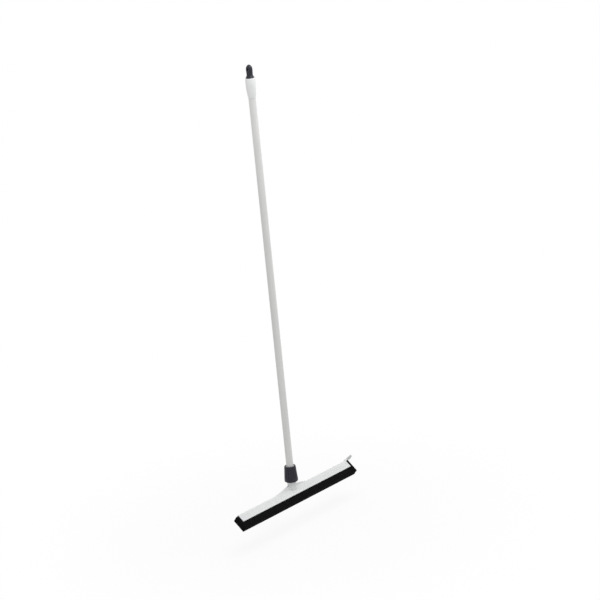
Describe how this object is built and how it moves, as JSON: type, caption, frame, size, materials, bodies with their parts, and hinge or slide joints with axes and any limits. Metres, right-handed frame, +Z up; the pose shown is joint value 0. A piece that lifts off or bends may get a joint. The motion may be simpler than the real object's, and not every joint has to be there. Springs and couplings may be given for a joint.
{
  "type": "floor squeegee",
  "caption": "Floor squeegee: a long tube handle in a slanted neck with a screw collar, a channel holder with slide-in foam rubber blades, and an end cap with a hanging eye.",
  "frame": {"origin": "centre of the hanging eye in the end cap, on the handle's axis", "axes": "+Z up along the handle as it hangs, +X along the blades towards the pull tab, +Y to the back, away from the user"},
  "size_m": [0.5582, 0.0648, 1.4555],
  "materials": {
    "white_polypropylene": "white moulded polypropylene, satin",
    "coated_aluminium": "white powder-coated aluminium tube, semi-gloss",
    "dark_polypropylene": "dark bluish grey moulded polypropylene, satin",
    "natural_nylon": "natural nylon, satin",
    "cellular_rubber": "black closed-cell foam rubber, matt"
  },
  "bodies": {
    "handle": {"handle_tube": "coated_aluminium", "tube_foot_plug": "natural_nylon", "upper_sleeve": "white_polypropylene", "hanger_cap": "dark_polypropylene"},
    "head": {"head_body": "white_polypropylene"},
    "clamp_ring": {"clamping_ring": "natural_nylon"},
    "collar": {"locking_collar": "dark_polypropylene"},
    "cassette": {"cassette_carrier": "white_polypropylene", "front_foam_blade": "cellular_rubber", "rear_foam_blade": "cellular_rubber"}
  },
  "joints": [
    {"name": "head_pull_off", "type": "slide", "parent": "handle", "child": "head", "axis": [0, 0, -1], "range_m": [0, 0.075]},
    {"name": "collar_lift", "type": "slide", "parent": "head", "child": "clamp_ring", "axis": [0, 0, 1], "range_m": [0, 0.0061]},
    {"name": "collar_turn", "type": "hinge", "parent": "clamp_ring", "child": "collar", "pos_m": [0, 0, -1.34], "axis": [0, 0, 1], "range_deg": [0, 540]},
    {"name": "cassette_slide", "type": "slide", "parent": "head", "child": "cassette", "axis": [1, 0, 0], "range_m": [0, 0.56]}
  ],
  "couplings": [
    {"joint": "collar_lift", "follows": "collar_turn", "m_per_rad": 0.00063662}
  ]
}
